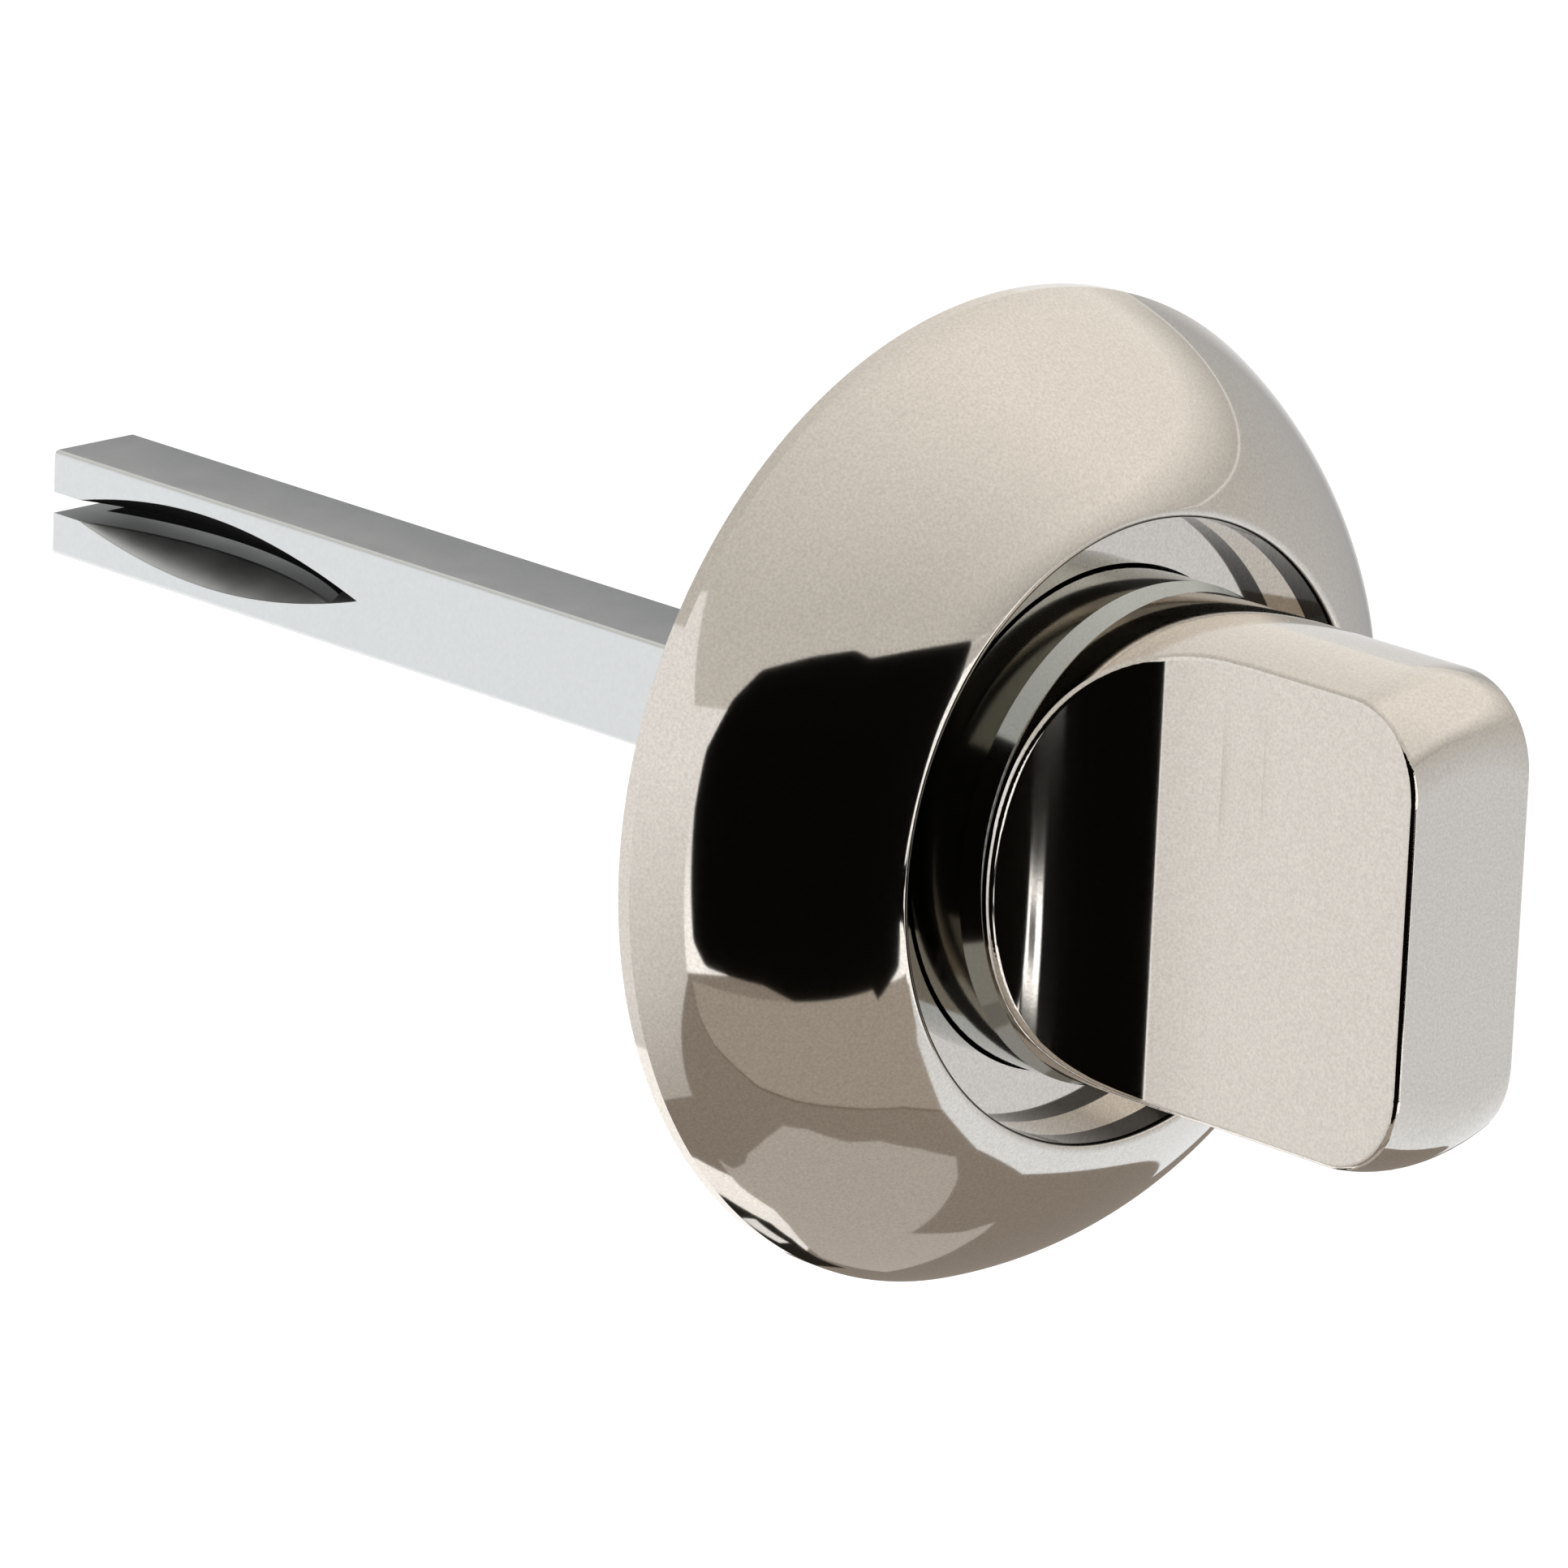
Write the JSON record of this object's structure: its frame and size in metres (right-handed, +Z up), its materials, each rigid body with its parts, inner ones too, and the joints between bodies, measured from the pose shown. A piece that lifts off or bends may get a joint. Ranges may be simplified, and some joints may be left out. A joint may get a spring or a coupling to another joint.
{
  "type": "bathroom thumb turn",
  "caption": "Privacy thumb turn for a bathroom door: domed round rose, upright scooped blade and a split square spindle that drives the lock.",
  "frame": {"origin": "on the turn's axis in the plane of the door, midway between the two fixing holes", "axes": "+Y into the door along the spindle, +Z up along the blade at rest, +X to the right as the user faces the turn"},
  "size_m": [0.053, 0.1034, 0.053],
  "materials": {
    "polished_nickel": "polished warm nickel plate on a zinc casting",
    "polished_chrome": "polished chrome plate on turned brass",
    "zinc_casting": "raw die-cast zinc, dull",
    "acetal": "natural acetal, satin",
    "plated_steel": "bright zinc plate on steel, satin",
    "spring_steel": "dark oiled spring steel"
  },
  "bodies": {
    "rose": {"rose_cover": "polished_nickel", "base_plate": "zinc_casting", "neck_collar": "polished_chrome", "bearing_bush": "acetal", "thrust_washer": "plated_steel", "snap_ring": "spring_steel"},
    "turn": {"thumb_turn": "polished_nickel", "spindle": "plated_steel", "spindle_pin": "spring_steel", "spring_washer": "spring_steel", "retaining_ring": "spring_steel"}
  },
  "joints": [
    {"name": "turn_spin", "type": "hinge", "parent": "rose", "child": "turn", "pos_m": [0, 0, 0], "axis": [0, -1, 0], "range_deg": [-90, 90]}
  ]
}
